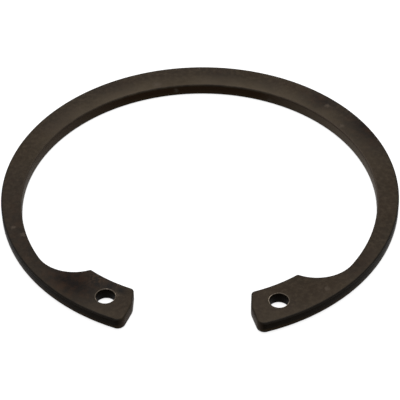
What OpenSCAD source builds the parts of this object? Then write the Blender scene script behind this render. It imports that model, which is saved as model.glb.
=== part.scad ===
// Retaining ring for a bore: one flat stamped ring, open at the front between two lugs.
// It lies on the plane z = 0. The origin is the centre of its round outer edge, and the gap faces -Y.

/* [Ring] */
// Diameter of the outer edge of the free ring, before it is squeezed into a groove
free_d = 64.2; // [56:0.1:76]
// Thickness of the sheet
thick = 2; // [1:0.25:4]
// Width of the band opposite the gap, where it is widest
back_w = 5.3; // [4.2:0.1:6.5]
// Distance from the centre of the outer edge to the centre of the inner edge, towards the gap
bore_shift = 1.75; // [0.8:0.05:2]
// Depth of the small bevel along the edges of both faces
edge_break = 0.15; // [0.1:0.05:0.4]

/* [Lugs] */
// Height of a lug, from the outer edge inwards
lug_h = 7.05; // [6.2:0.05:8.5]
// Clear width between the straight parts of the two end faces
gap_w = 17.8; // [10:0.1:21]
// Angle between the sloping outer part of an end face and the straight part
nose_angle = 19; // [12:1:30]
// Length of that sloping part, from the point where the two flats would meet to the outer edge
nose_l = 4.1; // [3:0.1:5]
// Radius that blends the sloping part into the straight part
nose_r = 3; // [1:0.1:5]
// Radius on the corner between the sloping part and the outer edge
tip_r = 1.2; // [0.6:0.1:1.6]
// Radius on the corner between the straight part and the inner edge of the lug
heel_r = 0.7; // [0.3:0.1:1]
// Radius on the corner between a lug and its hollow
corner_r = 0.4; // [0.2:0.1:0.8]

/* [Reliefs] */
// Radius of the hollow between a lug and the band
relief_r = 6.6; // [5.5:0.1:7.5]
// Where the hollow runs out into the inner edge, as an angle from the gap about the inner edge's centre
relief_angle = 58; // [54:0.5:62]

/* [Plier holes] */
// Diameter of the hole in each lug
hole_d = 3; // [2:0.1:3.4]
// Distance from the straight part of the end face to the hole's centre
hole_end = 4.2; // [3.3:0.1:5]
// Distance from the outer edge to the hole's centre
hole_rim = 3.75; // [3:0.05:4.2]

/* [Hidden] */
$fn = 96;

// Length that is more than any part of the ring
far = 2 * free_d;

// How far a bevel cutter runs past the face and past the edge that it cuts
lap = 0.5;

// A circle that blends into another edge is cut this much larger, so that it crosses the edge at a
// small angle. One that only touches it can leave a sliver.
hair = 0.0005;

// Outer edge, inner edge of the band, and inner edge of the lugs
outer_r = free_d / 2;
bore_r = outer_r - back_w + bore_shift;
bore_c = [0, -bore_shift];
lug_r = outer_r - lug_h;

// The relief touches the inner edge from inside, so the touching point is on the line of both centres
relief_u = [sin(relief_angle), -cos(relief_angle)];
relief_c = bore_c + (bore_r - relief_r) * relief_u;

// The straight part of an end face is on the line x = end_x. The sloping part would leave it at nose_p,
// runs along slope and meets the outer edge at rim_p.
end_x = gap_w / 2;
slope = [sin(nose_angle), -cos(nose_angle)];
slope_in = [cos(nose_angle), sin(nose_angle)];
rim_p = on_circle(outer_r, end_x + nose_l * slope.x);
nose_p = rim_p - nose_l * slope;

hole_r = hole_d / 2;
hole_c = on_circle(outer_r - hole_rim, end_x + hole_end);

// Sharp corners of the lug's outline: on its inner edge at the relief and at the end face
relief_p = crossing(lug_r, relief_c, relief_r);
heel_p = on_circle(lug_r, end_x);

// Centres of the roundings, each one radius inside both edges that meet at the corner
relief_k = crossing(lug_r + corner_r, relief_c, relief_r + corner_r);
heel_k = on_circle(lug_r + heel_r, end_x + heel_r);
nose_k = nose_p + nose_r * [1, tan(nose_angle / 2)];
tip_k = way_out(rim_p + tip_r * slope_in, slope, outer_r - tip_r);

// Point of a circle about the origin, on its side at -Y, at a given x
function on_circle(r, x) = [x, -sqrt(r ^ 2 - x ^ 2)];

// Where a line from p in direction u leaves a circle about the origin
function way_out(p, u, r) =
    let (along = p * u)
    p + (sqrt(along ^ 2 - p * p + r ^ 2) - along) * u;

// Crossing of a circle about the origin with a circle about c, on the side nearer to the gap
function crossing(r, c, r2) =
    let (
        d = norm(c),
        u = c / d,
        along = (r ^ 2 - r2 ^ 2 + d ^ 2) / (2 * d),
        across = sqrt(r ^ 2 - along ^ 2)
    )
    along * u + across * [u.y, -u.x];

function unit(v) = v / norm(v);

// Draws its children for the lug at +X and, mirrored, for the lug at -X
module both_lugs() {
    for (side = [0, 1])
        mirror([side, 0, 0])
            children();
}

// Flat sector in which the lugs and reliefs lie, up to where the reliefs run out
module lug_sector() {
    polygon([
        bore_c,
        bore_c + far * relief_u,
        bore_c - [0, far],
        bore_c + far * [-relief_u.x, relief_u.y]
    ]);
}

// Flat area between a sharp corner p and its rounding about c, which touches the edges at t1 and t2
module corner(c, r, p, t1, t2) {
    past = 1.5;
    difference() {
        polygon([c, c + past * (t1 - c), c + past * (p - c), c + past * (t2 - c)]);
        translate(c)
            circle(r + hair);
    }
}

// All four corners of the lug at +X
module corners() {
    corner(relief_k, corner_r, relief_p,
        relief_k - corner_r * unit(relief_k),
        relief_k - corner_r * unit(relief_k - relief_c));
    corner(heel_k, heel_r, heel_p,
        heel_k - heel_r * unit(heel_k),
        heel_k - [heel_r, 0]);
    corner(nose_k, nose_r, nose_p,
        nose_k - [nose_r, 0],
        nose_k - nose_r * slope_in);
    corner(tip_k, tip_r, rim_p,
        tip_k - tip_r * slope_in,
        tip_k + tip_r * unit(tip_k));
}

// Flat area that the sloping part of an end face takes off
module nose() {
    polygon([
        nose_p - nose_l * slope,
        rim_p + nose_l * slope,
        rim_p + nose_l * slope - far / 8 * slope_in,
        nose_p - nose_l * slope - far / 8 * slope_in
    ]);
}

// Outline of the stamping, seen from above
module outline() {
    difference() {
        circle(outer_r);
        difference() {
            translate(bore_c)
                circle(bore_r);
            lug_sector();
        }
        circle(lug_r);
        translate([-end_x, -far])
            square([gap_w, far]);
        both_lugs() {
            translate(relief_c)
                circle(relief_r + hair);
            translate(hole_c)
                circle(hole_r);
            nose();
            corners();
        }
    }
}

// Bevels both edges of a round opening of radius r about c
module bevel_opening(c, r) {
    for (face = [0, 1])
        translate([c.x, c.y, face * thick])
            mirror([0, 0, face])
                translate([0, 0, -lap])
                    cylinder(
                        h = edge_break + 2 * lap,
                        r1 = r + edge_break + lap,
                        r2 = r - lap
                    );
}

// Bevels both edges of a flat end face that runs through p along u, with the solid on its left
module bevel_flat(p, u) {
    size = edge_break + 2 * lap;
    for (face = [0, 1])
        translate([p.x, p.y, face * thick])
            mirror([0, 0, face])
                rotate([0, 0, atan2(u.y, u.x)])
                    translate([-far / 16, 0, 0])
                        rotate([90, 0, 90])
                            linear_extrude(far / 8)
                                polygon([[edge_break + lap, -lap], [edge_break + lap - size, -lap],
                                    [edge_break + lap - size, size - lap]]);
}

// Round plate with both edges of its rim bevelled
module blank() {
    rotate_extrude()
        polygon([
            [0, 0],
            [outer_r - edge_break, 0],
            [outer_r, edge_break],
            [outer_r, thick - edge_break],
            [outer_r - edge_break, thick],
            [0, thick]
        ]);
}

module retaining_ring() {
    color([0.22, 0.19, 0.17])
        difference() {
            intersection() {
                blank();
                linear_extrude(thick)
                    outline();
            }
            difference() {
                bevel_opening(bore_c, bore_r);
                translate([0, 0, -far / 2])
                    linear_extrude(far)
                        lug_sector();
            }
            bevel_opening([0, 0], lug_r);
            both_lugs() {
                bevel_opening(relief_c, relief_r + hair);
                bevel_opening(hole_c, hole_r);
                bevel_flat(nose_p, [0, -1]);
                bevel_flat(nose_p, slope);
            }
        }
}

retaining_ring();
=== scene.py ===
# Retaining ring for a bore, dressed for the photograph: one stamped ring of spring steel,
# hardened, phosphated and oiled. Lengths are metres, in the frame of the CAD model.
import math

import bpy
from mathutils import Matrix, Vector


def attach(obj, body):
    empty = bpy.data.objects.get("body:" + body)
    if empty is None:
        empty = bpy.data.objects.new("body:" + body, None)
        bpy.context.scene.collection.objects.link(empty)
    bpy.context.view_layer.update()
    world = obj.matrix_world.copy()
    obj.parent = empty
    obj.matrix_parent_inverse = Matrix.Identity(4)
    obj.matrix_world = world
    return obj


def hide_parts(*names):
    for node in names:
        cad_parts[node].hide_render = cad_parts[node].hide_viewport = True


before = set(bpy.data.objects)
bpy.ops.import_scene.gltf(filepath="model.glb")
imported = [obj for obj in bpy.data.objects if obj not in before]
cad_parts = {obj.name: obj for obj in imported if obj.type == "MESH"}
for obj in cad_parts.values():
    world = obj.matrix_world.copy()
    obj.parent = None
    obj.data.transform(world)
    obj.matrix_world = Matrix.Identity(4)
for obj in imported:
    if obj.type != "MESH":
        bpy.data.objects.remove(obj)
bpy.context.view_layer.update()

MM = 0.001
THICK = 2.0 * MM

bpy.context.scene.view_settings.view_transform = "Standard"


# Camera of the photograph

CAMERA_PLACE = Vector((11.81, -202.97, 181.96)) * MM
CAMERA_YAW = math.radians(3.33)
CAMERA_PITCH = math.radians(41.94)
CAMERA_ROLL = math.radians(-1.0)

# Focal length and width of the sensor, in mm
LENS = 151.1
SENSOR = 36.0

# The camera sees what lies between these two distances
NEAREST = 10 * MM
FARTHEST = 20.0


def place_camera():
    """Puts the camera where the photograph was taken from, looking down over the ring's gap."""
    data = bpy.data.cameras.new("camera")
    data.sensor_width = SENSOR
    data.lens = LENS
    data.clip_start = NEAREST
    data.clip_end = FARTHEST
    camera = bpy.data.objects.new("camera", data)
    bpy.context.scene.collection.objects.link(camera)
    camera.matrix_world = (
        Matrix.Translation(CAMERA_PLACE)
        @ Matrix.Rotation(CAMERA_YAW, 4, "Z")
        @ Matrix.Rotation(math.pi / 2 - CAMERA_PITCH, 4, "X")
        @ Matrix.Rotation(CAMERA_ROLL, 4, "Z")
    )
    bpy.context.scene.camera = camera


# Materials

def linear(code):
    """Linear RGBA of an sRGB hex colour."""
    parts = [int(code[i:i + 2], 16) / 255 for i in (1, 3, 5)]
    return [c / 12.92 if c <= 0.04045 else ((c + 0.055) / 1.055) ** 2.4 for c in parts] + [1.0]


def node(tree, kind, settings=None, links=None):
    """Adds a node. A setting is a property or the value of an input, with a colour as its hex code,
    and a link leads to an input from an output or from a node's first output."""
    made = tree.nodes.new("ShaderNode" + kind)
    for name, value in (settings or {}).items():
        if isinstance(value, str) and value.startswith("#"):
            value = linear(value)
        if isinstance(name, str) and hasattr(made, name):
            setattr(made, name, value)
        else:
            made.inputs[name].default_value = value
    for name, source in (links or {}).items():
        tree.links.new(source.outputs[0] if isinstance(source, bpy.types.Node) else source,
                       made.inputs[name])
    return made


def new_material(name):
    """A material without nodes, and its node tree."""
    material = bpy.data.materials.new(name)
    material.use_nodes = True
    material.node_tree.nodes.clear()
    return material, material.node_tree


# Ring

# Roundings of the edges along the outline, and round the plier holes
ROUNDING = 0.25 * MM
HOLE_ROUNDING = 0.1 * MM

# Middles of the plier holes at the upper face, in mm
PLIER_HOLES = ((13.1, -25.14, 2), (-13.1, -25.14, 2))

# An edge that lies this near to the middle of a plier hole belongs to the hole
HOLE_REACH = 2 * MM

# Points that are nearer to each other than this are one point
TINY = 0.001 * MM

# Edges of the CAD mesh that turn less than this are one straight edge, edges that turn more than
# SHARP are rounded, and faces that meet at less than SMOOTH are shaded as one curve
STRAIGHT = math.radians(0.2)
SHARP = math.radians(60)
SMOOTH = math.radians(40)

# Material slots of the roundings and of the walls. The first slot, 0, is that of the two faces.
ROUNDED_EDGE, CUT_WALL = 1, 2

# A face is part of a wall where its normal rises less than this
WALL_RISE = 0.5


def take(piece):
    """Makes one object the only selected and active one."""
    bpy.ops.object.select_all(action="DESELECT")
    piece.select_set(True)
    bpy.context.view_layer.objects.active = piece


def make_ring(finishes):
    """Stamps the outline of the CAD ring again at full thickness, and rounds its edges all round,
    as tumbling leaves them."""
    cad_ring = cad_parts["retaining_ring"]
    ring = bpy.data.objects.new("ring", cad_ring.data.copy())
    bpy.context.scene.collection.objects.link(ring)
    ring.data.materials.clear()
    for finish in finishes:
        ring.data.materials.append(finish)
    take(ring)

    # The outline at half height, where no bevel touches it
    bpy.ops.object.mode_set(mode="EDIT")
    bpy.ops.mesh.select_mode(type="VERT")
    bpy.ops.mesh.select_all(action="SELECT")
    bpy.ops.mesh.remove_doubles(threshold=TINY)
    bpy.ops.mesh.bisect(plane_co=(0, 0, THICK / 2), plane_no=(0, 0, 1), use_fill=True,
                        clear_inner=True, clear_outer=False)
    bpy.ops.mesh.select_mode(type="FACE")
    bpy.ops.mesh.select_all(action="DESELECT")
    bpy.ops.object.mode_set(mode="OBJECT")
    for face in ring.data.polygons:
        face.select = face.center.z > THICK / 2 + TINY
    bpy.ops.object.mode_set(mode="EDIT")
    bpy.ops.mesh.delete(type="FACE")
    bpy.ops.mesh.select_all(action="SELECT")
    bpy.ops.mesh.dissolve_limited(angle_limit=STRAIGHT)

    # The outline again at full thickness, from the floor up
    bpy.ops.mesh.select_all(action="SELECT")
    bpy.ops.transform.translate(value=(0, 0, -THICK / 2))
    bpy.ops.mesh.extrude_region_move(TRANSFORM_OT_translate={"value": (0, 0, THICK)})
    bpy.ops.mesh.select_all(action="SELECT")
    bpy.ops.mesh.normals_make_consistent(inside=False)

    # Edges of the outline first, and then the sharp ones that are left, round the plier holes
    bpy.ops.mesh.select_all(action="DESELECT")
    bpy.ops.mesh.select_mode(type="EDGE")
    bpy.ops.mesh.edges_select_sharp(sharpness=SHARP)
    bpy.ops.object.mode_set(mode="OBJECT")
    for edge in ring.data.edges:
        spot = ring.data.vertices[edge.vertices[0]].co.xy
        if any((spot - Vector(hole[:2]) * MM).length < HOLE_REACH for hole in PLIER_HOLES):
            edge.select = False
    bpy.ops.object.mode_set(mode="EDIT")
    bpy.ops.mesh.bevel(offset=ROUNDING, offset_type="OFFSET", segments=4, profile=0.5,
                       clamp_overlap=False, material=ROUNDED_EDGE)
    bpy.ops.mesh.select_all(action="DESELECT")
    bpy.ops.mesh.edges_select_sharp(sharpness=SHARP)
    bpy.ops.mesh.bevel(offset=HOLE_ROUNDING, offset_type="OFFSET", segments=3, profile=0.5,
                       clamp_overlap=False, material=ROUNDED_EDGE)
    bpy.ops.object.mode_set(mode="OBJECT")

    for face in ring.data.polygons:
        if face.material_index != ROUNDED_EDGE and abs(face.normal.z) < WALL_RISE:
            face.material_index = CUT_WALL
    return ring


def shade_ring(ring):
    """Smooth shading that keeps the two faces flat."""
    take(ring)
    bpy.ops.object.shade_smooth_by_angle(angle=SMOOTH)
    flat = ring.modifiers.new("flat faces", "WEIGHTED_NORMAL")
    flat.keep_sharp = True
    flat.weight = 100
    bpy.ops.object.modifier_apply(modifier=flat.name)


# Finish of the ring: spring steel, hardened, then given a coat of dark phosphate crystals that
# holds oil

# Sockets of a Mix node by their place: its factor, its two colours and the mixed colour, and the
# two numbers that it mixes instead
FACTOR, FIRST, SECOND, MIXED = 0, 6, 7, 2
FIRST_NUMBER, SECOND_NUMBER = 2, 3

# Gloss of the oil on the rolled faces and tumbled edges, and on the walls that the punch cut
OILED_GLOSS = 0.07
WALL_GLOSS = 0.02

RIM_CENTRE = Vector((0, 0, 0)) * MM
RIM_RADIUS = 32.1 * MM
BORE_CENTRE = Vector((0, -1.75, 0)) * MM
BORE_RADIUS = 28.55 * MM

# Tips of the lugs on the upper face, and middles of the flats of the end faces, in mm
LUG_TIPS = ((11, -27.5, 2), (-11, -27.5, 2))
LUG_ENDS = ((8.2, -26, 1), (8.2, -28.5, 1), (-8.2, -26, 1), (-8.2, -28.5, 1))

# Small bare scuffs on the upper face and on the wall round the opening: place and size in mm
FACE_SCUFFS = (
    ((-8.7, 26.6, 2), 1.0), ((20.8, 21.8, 2), 0.6), ((23.2, 16.4, 2), 0.6),
    ((-29.0, -10.5, 2), 0.5), ((-27.2, -12.1, 2), 0.6), ((20.3, -22.5, 2), 0.6),
    ((-11.4, -24.8, 2), 0.6),
)
WALL_SCUFFS = (((-5.4, 26.3, 1.1), 0.6), ((11.0, 24.6, 0.7), 0.5))

# Places where oil has soaked in, and where it has soaked in less: place and size in mm
OIL_PLACES = (((-18.5, -22.3, 2), 9.0), ((28.5, 16.5, 2), 8.5), ((19.0, 22.2, 2), 4.5))
FAINT_OIL_PLACES = (
    ((-24.5, -15.5, 2), 23.0), ((-22.9, 15.4, 2), 5.0), ((-15.0, 24.0, 2), 5.0),
    ((2.0, 28.0, 2), 4.5), ((10.6, 26.3, 2), 3.0), ((24.9, -16.8, 2), 5.0),
    ((18.2, 21.7, 2), 5.5),
)

# Places where the oil has let a little rust through: place and size in mm
RUST_SPOTS = (((-14.3, -21.6, 2), 2.2), ((-12.0, -22.9, 2), 1.4))

# Dark stains, where oil has dried along the inner edge of one lug: place and size in mm
STAINS = (((-12.6, -23.1, 2), 1.3), ((-10.9, -23.9, 2), 1.1), ((-14.6, -22.6, 2), 0.8))

# How far the outline of a mark strays, and how much of a mark's size is at its full strength
RAGGED = 1.2 * MM
MARK_CORE = 0.15


def distance(tree, place, spots):
    """Distance to the nearest of some spots."""
    nearest = None
    for spot in spots:
        away = node(tree, "VectorMath", {"operation": "DISTANCE", 1: Vector(spot) * MM},
                    {0: place}).outputs["Value"]
        nearest = away if nearest is None else node(tree, "Math", {"operation": "MINIMUM"},
                                                    {0: nearest, 1: away}).outputs[0]
    return nearest


def distance_from_axis(tree, place, centre):
    """Distance to the upright line through a centre at the height of the floor."""
    level = node(tree, "VectorMath", {"operation": "MULTIPLY", 1: (1, 1, 0)}, {0: place})
    return node(tree, "VectorMath", {"operation": "DISTANCE", 1: centre},
                {0: level}).outputs["Value"]


def marks(tree, place, spots):
    """Soft patches with a ragged outline, one at each spot."""
    ragged = node(tree, "TexNoise", {"Scale": 1 / (0.5 * MM), "Detail": 2.0}, {"Vector": place})
    shift = node(tree, "VectorMath",
                 {"operation": "MULTIPLY_ADD", 1: [RAGGED] * 3, 2: [-RAGGED / 2] * 3},
                 {0: ragged.outputs["Color"]})
    moved = node(tree, "VectorMath", {"operation": "ADD"}, {0: place, 1: shift})
    total = None
    for spot, size in spots:
        mark = node(tree, "MapRange",
                    {"From Min": MARK_CORE * size * MM, "From Max": size * MM,
                     "To Min": 1.0, "To Max": 0.0},
                    {"Value": distance(tree, moved, (spot,))})
        total = mark if total is None else node(tree, "Math", {"operation": "MAXIMUM"},
                                                {0: total, 1: mark})
    return total


def bore_edge(tree, place):
    """How much a spot belongs to the edge and the wall round the opening."""
    return node(tree, "MapRange",
                {"From Min": BORE_RADIUS + 0.4 * MM, "From Max": BORE_RADIUS + 0.7 * MM,
                 "To Min": 1.0, "To Max": 0.0},
                {"Value": distance_from_axis(tree, place, BORE_CENTRE)})


def painted_bore_sheen(tree, place, inside):
    """How much painted sheen the edge and the wall round the opening get, standing in for the white
    floor that they reflect at a grazing angle: more towards the two sides, and most of all on the
    right."""
    across = node(tree, "SeparateXYZ", links={0: place}).outputs
    right = node(tree, "MapRange", {"From Min": 9 * MM, "From Max": 22 * MM},
                 {"Value": across["X"]})
    left = node(tree, "MapRange", {"From Min": -14 * MM, "From Max": -28 * MM, "To Max": 0.55},
                {"Value": across["X"]})
    behind = node(tree, "MapRange", {"From Min": -12 * MM, "From Max": 0.0},
                  {"Value": across["Y"]})
    rub = node(tree, "Math", {"operation": "MAXIMUM"}, {0: right, 1: left})
    rub = node(tree, "Math", {"operation": "MULTIPLY"}, {0: rub, 1: behind})
    return node(tree, "Math", {"operation": "MULTIPLY"}, {0: rub, 1: inside})


def oiled_coat(material, place, tone, roughness, gloss):
    """The crystals of the coat catch the light as a fine grain. They are a few hundredths of a
    millimetre across, and are drawn 0.3 mm wide so that they show."""
    tree = material.node_tree
    crystals = node(tree, "TexNoise", {"Scale": 1 / (0.3 * MM), "Detail": 2.0},
                    {"Vector": place})
    bump = node(tree, "Bump", {"Strength": 0.35, "Distance": 0.02 * MM}, {"Height": crystals})
    steel = node(tree, "BsdfPrincipled",
                 {"Metallic": 0.0, "IOR": 1.5, "Specular IOR Level": gloss},
                 {"Base Color": tone, "Roughness": roughness, "Normal": bump})
    node(tree, "OutputMaterial", links={"Surface": steel})


def rolled_face():
    """Phosphated steel, rolled flat: a brown black, matt to satin as the oil lies on it, cloudy
    from the bath, and with a painted sheen towards the edges at the back and at the front."""
    material, tree = new_material("phosphated_rolled_face")
    place = node(tree, "TexCoord").outputs["Object"]

    # Clouds of a thinner and a thicker coat, about 9 mm wide
    cloud = node(tree, "TexNoise", {"Scale": 1 / (9 * MM), "Detail": 4.0}, {"Vector": place})
    cloud = node(tree, "MapRange", {"From Min": 0.35, "From Max": 0.65}, {"Value": cloud})
    tone = node(tree, "Mix", {"data_type": "RGBA", FIRST: "#1F180F", SECOND: "#271E14"},
                {FACTOR: cloud}).outputs[MIXED]

    # Mottling of the crystals, in flecks about 0.7 mm wide
    fleck = node(tree, "TexNoise", {"Scale": 1 / (0.7 * MM), "Detail": 3.0, "Roughness": 0.6},
                 {"Vector": place})
    fleck = node(tree, "MapRange", {"From Min": 0.42, "From Max": 0.72, "To Max": 0.85},
                 {"Value": fleck})
    tone = node(tree, "Mix", {"data_type": "RGBA", SECOND: "#362D22"},
                {FACTOR: fleck, FIRST: tone}).outputs[MIXED]

    # Dark red brown places where oil has soaked in, mottled 1.5 mm wide
    faint = node(tree, "Math", {"operation": "MULTIPLY", 1: 0.55},
                 {0: marks(tree, place, FAINT_OIL_PLACES)})
    soaked = node(tree, "Math", {"operation": "MAXIMUM"},
                  {0: marks(tree, place, OIL_PLACES), 1: faint})
    mottle = node(tree, "TexNoise", {"Scale": 1 / (1.5 * MM), "Detail": 4.0, "Roughness": 0.65},
                  {"Vector": place})
    mottle = node(tree, "MapRange", {"From Min": 0.42, "From Max": 0.66}, {"Value": mottle})
    dark = node(tree, "Mix", {"data_type": "RGBA", FIRST: "#0C0502", SECOND: "#24150A"},
                {FACTOR: mottle}).outputs[MIXED]
    tone = node(tree, "Mix", {"data_type": "RGBA"},
                {FACTOR: soaked, FIRST: tone, SECOND: dark}).outputs[MIXED]

    # The tips of the lugs are handled most, and are a little paler
    handled = node(tree, "MapRange",
                   {"From Min": 2 * MM, "From Max": 6 * MM, "To Min": 0.1, "To Max": 0.0},
                   {"Value": distance(tree, place, LUG_TIPS)})
    tone = node(tree, "Mix", {"data_type": "RGBA", SECOND: "#40372E"},
                {FACTOR: handled, FIRST: tone}).outputs[MIXED]

    # Painted sheen, standing in for the soft box that a slightly rolled face would catch: paler
    # within
    # 3.5 mm of the inner edge at the back, and within 2.5 mm of the rim at the front, in patches
    # about 6 mm wide
    across = node(tree, "SeparateXYZ", links={0: place}).outputs
    back = node(tree, "MapRange", {"From Min": 0.0, "From Max": 24 * MM}, {"Value": across["Y"]})
    front = node(tree, "MapRange",
                 {"From Min": -26 * MM, "From Max": -6 * MM, "To Min": 0.3, "To Max": 0.0},
                 {"Value": across["Y"]})
    by_bore = node(tree, "MapRange",
                   {"From Min": BORE_RADIUS + 0.2 * MM, "From Max": BORE_RADIUS + 3.5 * MM,
                    "To Min": 1.0, "To Max": 0.0},
                   {"Value": distance_from_axis(tree, place, BORE_CENTRE)})
    by_rim = node(tree, "MapRange",
                  {"From Min": RIM_RADIUS - 2.5 * MM, "From Max": RIM_RADIUS - 0.3 * MM},
                  {"Value": distance_from_axis(tree, place, RIM_CENTRE)})
    by_bore = node(tree, "Math", {"operation": "MULTIPLY"}, {0: by_bore, 1: back})
    by_rim = node(tree, "Math", {"operation": "MULTIPLY"}, {0: by_rim, 1: front})
    rub = node(tree, "Math", {"operation": "MAXIMUM"}, {0: by_bore, 1: by_rim})
    patchy = node(tree, "TexNoise", {"Scale": 1 / (6 * MM), "Detail": 3.0}, {"Vector": place})
    patchy = node(tree, "MapRange", {"From Min": 0.3, "From Max": 0.6, "To Min": 0.55},
                  {"Value": patchy})
    rub = node(tree, "Math", {"operation": "MULTIPLY"}, {0: rub, 1: patchy})
    tone = node(tree, "Mix", {"data_type": "RGBA", SECOND: "#42392D"},
                {FACTOR: rub, FIRST: tone}).outputs[MIXED]

    # Rust in specks about 0.5 mm wide, dried oil, and scuffs through the coat
    rust = marks(tree, place, RUST_SPOTS)
    speck = node(tree, "TexNoise", {"Scale": 1 / (0.5 * MM), "Detail": 2.0}, {"Vector": place})
    speck = node(tree, "MapRange", {"From Min": 0.48, "From Max": 0.6, "To Max": 0.8},
                 {"Value": speck})
    rust = node(tree, "Math", {"operation": "MULTIPLY"}, {0: rust, 1: speck})
    tone = node(tree, "Mix", {"data_type": "RGBA", SECOND: "#38291D"},
                {FACTOR: rust, FIRST: tone}).outputs[MIXED]
    stain = marks(tree, place, STAINS)
    tone = node(tree, "Mix", {"data_type": "RGBA", SECOND: "#0D0906"},
                {FACTOR: stain, FIRST: tone}).outputs[MIXED]
    scuff = marks(tree, place, FACE_SCUFFS)
    tone = node(tree, "Mix", {"data_type": "RGBA", SECOND: "#41382F"},
                {FACTOR: scuff, FIRST: tone}).outputs[MIXED]

    # Oil lies in patches about 5 mm wide, and is smoothest where it has soaked in
    oil = node(tree, "TexNoise", {"Scale": 1 / (5 * MM), "Detail": 3.0}, {"Vector": place})
    rough = node(tree, "MapRange",
                 {"From Min": 0.35, "From Max": 0.65, "To Min": 0.62, "To Max": 0.48},
                 {"Value": oil})
    rough = node(tree, "Mix", {"data_type": "FLOAT", SECOND_NUMBER: 0.24},
                 {FACTOR: soaked, FIRST_NUMBER: rough})
    oiled_coat(material, place, tone, rough, OILED_GLOSS)
    return material


def tumbled_edge():
    """Phosphated steel on edges that were tumbled round: the same brown black, paler where the coat
    is thin on the curve."""
    material, tree = new_material("phosphated_tumbled_edge")
    place = node(tree, "TexCoord").outputs["Object"]

    # Thinner and thicker coat, in patches about 1.2 mm wide
    thin = node(tree, "TexNoise", {"Scale": 1 / (1.2 * MM), "Detail": 3.0}, {"Vector": place})
    thin = node(tree, "MapRange", {"From Min": 0.4, "From Max": 0.7}, {"Value": thin})
    tone = node(tree, "Mix", {"data_type": "RGBA", FIRST: "#1C150D", SECOND: "#2C2419"},
                {FACTOR: thin}).outputs[MIXED]

    # Painted sheen round the opening, where the rounded edge faces the sides
    rub = painted_bore_sheen(tree, place, bore_edge(tree, place))
    tone = node(tree, "Mix", {"data_type": "RGBA", SECOND: "#3A3129"},
                {FACTOR: rub, FIRST: tone}).outputs[MIXED]

    # Painted shade: the rounded edge along the front of the rim is painted nearly black, where it
    # faces away from the light
    by_rim = node(tree, "MapRange",
                  {"From Min": RIM_RADIUS - 0.5 * MM, "From Max": RIM_RADIUS - 0.2 * MM},
                  {"Value": distance_from_axis(tree, place, RIM_CENTRE)})
    across = node(tree, "SeparateXYZ", links={0: place}).outputs
    front = node(tree, "MapRange", {"From Min": 10 * MM, "From Max": -10 * MM, "To Max": 0.8},
                 {"Value": across["Y"]})
    front_rim_shade = node(tree, "Math", {"operation": "MULTIPLY"}, {0: by_rim, 1: front})
    tone = node(tree, "Mix", {"data_type": "RGBA", SECOND: "#0B0704"},
                {FACTOR: front_rim_shade, FIRST: tone}).outputs[MIXED]

    # Painted highlight: the upper rims of the plier holes are painted pale, more in some places
    # than in others
    hole_glint = node(tree, "MapRange",
               {"From Min": 1.8 * MM, "From Max": 2.0 * MM, "To Min": 1.0, "To Max": 0.0},
               {"Value": distance(tree, place, PLIER_HOLES)})
    rubbed = node(tree, "MapRange",
                  {"From Min": 0.35, "From Max": 0.6, "To Min": 0.35, "To Max": 1.0},
                  {"Value": thin})
    hole_glint = node(tree, "Math", {"operation": "MULTIPLY"}, {0: hole_glint, 1: rubbed})
    tone = node(tree, "Mix", {"data_type": "RGBA", SECOND: "#8A7E70"},
                {FACTOR: hole_glint, FIRST: tone}).outputs[MIXED]

    rough = node(tree, "MapRange", {"To Min": 0.55, "To Max": 0.45}, {"Value": thin})
    oiled_coat(material, place, tone, rough, OILED_GLOSS)
    return material


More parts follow.
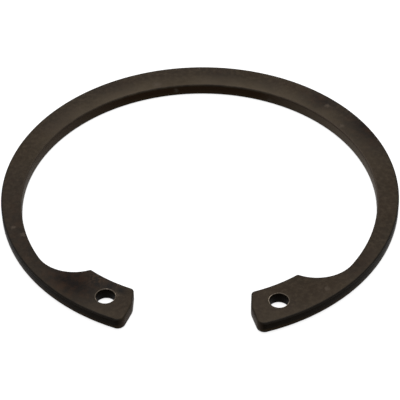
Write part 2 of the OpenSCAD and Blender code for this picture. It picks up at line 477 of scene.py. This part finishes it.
def punched_wall():
    """Phosphated steel on the walls that the punch cut: nearly black on the upper part and browner
    on the lower part, with painted light and shade where the walls are lit differently."""
    material, tree = new_material("phosphated_punched_wall")
    place = node(tree, "TexCoord").outputs["Object"]

    # Darker upper part and browner lower part, with an uneven line between them
    height = node(tree, "SeparateXYZ", links={0: place}).outputs["Z"]
    uneven = node(tree, "TexNoise", {"Scale": 1 / (1.5 * MM), "Detail": 3.0}, {"Vector": place})
    height = node(tree, "Math", {"operation": "MULTIPLY_ADD", 1: 0.8 * MM},
                  {0: uneven, 2: height})
    lower_part = node(tree, "MapRange",
                  {"From Min": 0.9 * MM, "From Max": 1.3 * MM, "To Min": 1.0, "To Max": 0.0},
                  {"Value": height})
    inside = bore_edge(tree, place)
    # Painted light and shade: the outer wall is painted nearly black and the wall round the opening
    # paler, for how each is lit
    tone = node(tree, "Mix", {"data_type": "RGBA", FIRST: "#130D06", SECOND: "#2B1E12"},
                {FACTOR: inside}).outputs[MIXED]
    tone = node(tree, "Mix", {"data_type": "RGBA", SECOND: "#362A1C"},
                {FACTOR: lower_part, FIRST: tone}).outputs[MIXED]

    # Painted reflection: the wall round the opening is painted a warm grey towards the sides, where
    # it would reflect the white floor at a grazing angle
    rub = painted_bore_sheen(tree, place, inside)
    tone = node(tree, "Mix", {"data_type": "RGBA", SECOND: "#63584C"},
                {FACTOR: rub, FIRST: tone}).outputs[MIXED]

    # Painted shade: the walls inside the plier holes are painted nearly black
    hole = node(tree, "MapRange",
                {"From Min": 2.6 * MM, "From Max": 2.9 * MM, "To Min": 0.9, "To Max": 0.0},
                {"Value": distance(tree, place, PLIER_HOLES)})
    tone = node(tree, "Mix", {"data_type": "RGBA", SECOND: "#0C0804"},
                {FACTOR: hole, FIRST: tone}).outputs[MIXED]

    # Painted light: the two end faces, which face the sides, are painted paler for the side light
    # that they catch
    end_face_light = node(tree, "MapRange",
               {"From Min": 2.2 * MM, "From Max": 3.2 * MM, "To Min": 0.9, "To Max": 0.0},
               {"Value": distance(tree, place, LUG_ENDS)})
    tone = node(tree, "Mix", {"data_type": "RGBA", SECOND: "#463B31"},
                {FACTOR: end_face_light, FIRST: tone}).outputs[MIXED]

    scuff = marks(tree, place, WALL_SCUFFS)
    tone = node(tree, "Mix", {"data_type": "RGBA", SECOND: "#4A4138"},
                {FACTOR: scuff, FIRST: tone}).outputs[MIXED]

    # Just under the upper edge the coat is thicker and more matt, and looks darker from the side
    rough = node(tree, "MapRange",
                 {"From Min": 1.4 * MM, "From Max": 2.1 * MM, "To Min": 0.43, "To Max": 0.6},
                 {"Value": height})
    oiled_coat(material, place, tone, rough, WALL_GLOSS)
    return material


# Floor and light

FLOOR_SIZE = 4.0

# The floor lies this little below the ring, so that no face of the ring lies in it
FLOOR_DROP = 0.02 * MM

# Strength with which the paper shows itself, beside the light that it sends back
PAPER_GLOW = 0.8

# Strength with which the room lights the ring from all sides
ROOM_LIGHT = 0.2


def make_floor(paper):
    """Sheet of paper that the ring lies on, which isn't part of the object."""
    bpy.ops.mesh.primitive_plane_add(size=FLOOR_SIZE, location=(0, 0, -FLOOR_DROP))
    floor = bpy.context.active_object
    floor.name = "floor"
    floor.data.materials.append(paper)


def white_where_seen(tree, strength):
    """Strength for rays from the camera, in a mirror or through glass, and none for other rays."""
    path = node(tree, "LightPath").outputs
    seen = node(tree, "Math", {"operation": "MAXIMUM"},
                {0: path["Is Camera Ray"], 1: path["Is Glossy Ray"]})
    seen = node(tree, "Math", {"operation": "MAXIMUM"},
                {0: seen, 1: path["Is Transmission Ray"]})
    return node(tree, "Math", {"operation": "MULTIPLY", 1: strength}, {0: seen})


def white_paper():
    """Matt paper that is white where it is seen, and keeps the ring's shadow."""
    material, tree = new_material("white_paper")
    matt = node(tree, "BsdfDiffuse", {"Color": "#A0A0A0"})
    glow = node(tree, "Emission", {"Color": "#FFFFFF"},
                {"Strength": white_where_seen(tree, PAPER_GLOW)})
    both = node(tree, "AddShader", links={0: matt, 1: glow})
    node(tree, "OutputMaterial", links={"Surface": both})
    return material


def light_world():
    """Plain room that is white where it is seen, and lights the ring a little from all sides."""
    world = bpy.data.worlds.new("studio")
    bpy.context.scene.world = world
    world.use_nodes = True
    tree = world.node_tree
    tree.nodes.clear()
    strength = node(tree, "Math", {"operation": "MAXIMUM", 1: ROOM_LIGHT},
                    {0: white_where_seen(tree, 1.0)})
    room = node(tree, "Background", {"Color": "#FFFFFF"}, {"Strength": strength})
    node(tree, "OutputWorld", links={"Surface": room})


def add_lamp(name, place, size, power):
    """Square soft box that faces the ring, with its power in watts."""
    data = bpy.data.lights.new(name, "AREA")
    data.shape = "SQUARE"
    data.size = size
    data.energy = power
    lamp = bpy.data.objects.new(name, data)
    bpy.context.scene.collection.objects.link(lamp)
    lamp.location = place
    lamp.rotation_mode = "QUATERNION"
    lamp.rotation_quaternion = (-Vector(place)).to_track_quat("-Z", "Y")


place_camera()
ring = make_ring((rolled_face(), tumbled_edge(), punched_wall()))
shade_ring(ring)
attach(ring, "root")
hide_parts("retaining_ring")

make_floor(white_paper())
light_world()
add_lamp("top soft box", place=(0.0, 0.12, 0.65), size=0.5, power=5.0)
